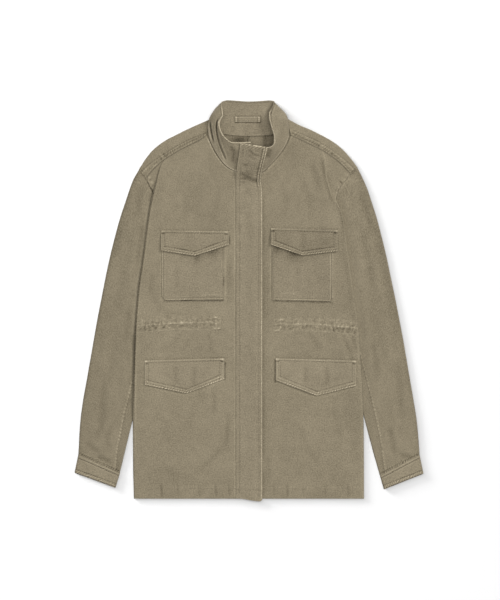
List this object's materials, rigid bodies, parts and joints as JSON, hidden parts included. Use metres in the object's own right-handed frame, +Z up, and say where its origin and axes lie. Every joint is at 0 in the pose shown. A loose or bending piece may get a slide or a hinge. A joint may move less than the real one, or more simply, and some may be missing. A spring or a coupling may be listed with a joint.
{
  "type": "field jacket laid flat",
  "caption": "Canvas field jacket laid flat on its back, front up: stand collar, wind flap over the zip, chest pockets with pointed flaps, lower flaps, drawn-in waist and banded cuffs.",
  "frame": {"origin": "centre of the outline in plan, on the surface that the jacket lies on", "axes": "+X to the wearer's left, +Y from the hem to the collar, +Z up, away from the surface and out of the front"},
  "size_m": [0.7322, 0.8412, 0.031],
  "materials": {
    "canvas": "washed cotton canvas",
    "canvas_trim": "washed cotton canvas",
    "zip_tape": "woven cotton tape",
    "brass": "aged, brushed"
  },
  "bodies": {
    "root": {"back_r": "canvas", "back_l": "canvas", "front_r": "canvas", "front_l": "canvas", "sleeve_r": "canvas", "sleeve_l": "canvas", "cuff_r": "canvas", "cuff_l": "canvas", "collar": "canvas", "collar_facing": "canvas_trim", "placket": "canvas_trim", "chest_pocket_r": "canvas_trim", "chest_pocket_l": "canvas_trim", "chest_flap_r": "canvas_trim", "chest_flap_l": "canvas_trim", "lower_flap_r": "canvas_trim", "lower_flap_l": "canvas_trim", "hanger_loop": "canvas_trim", "zip_tape_r": "zip_tape", "zip_tape_l": "zip_tape", "zip_chain": "brass", "zip_slider": "brass", "zip_pull": "brass"}
  },
  "joints": []
}
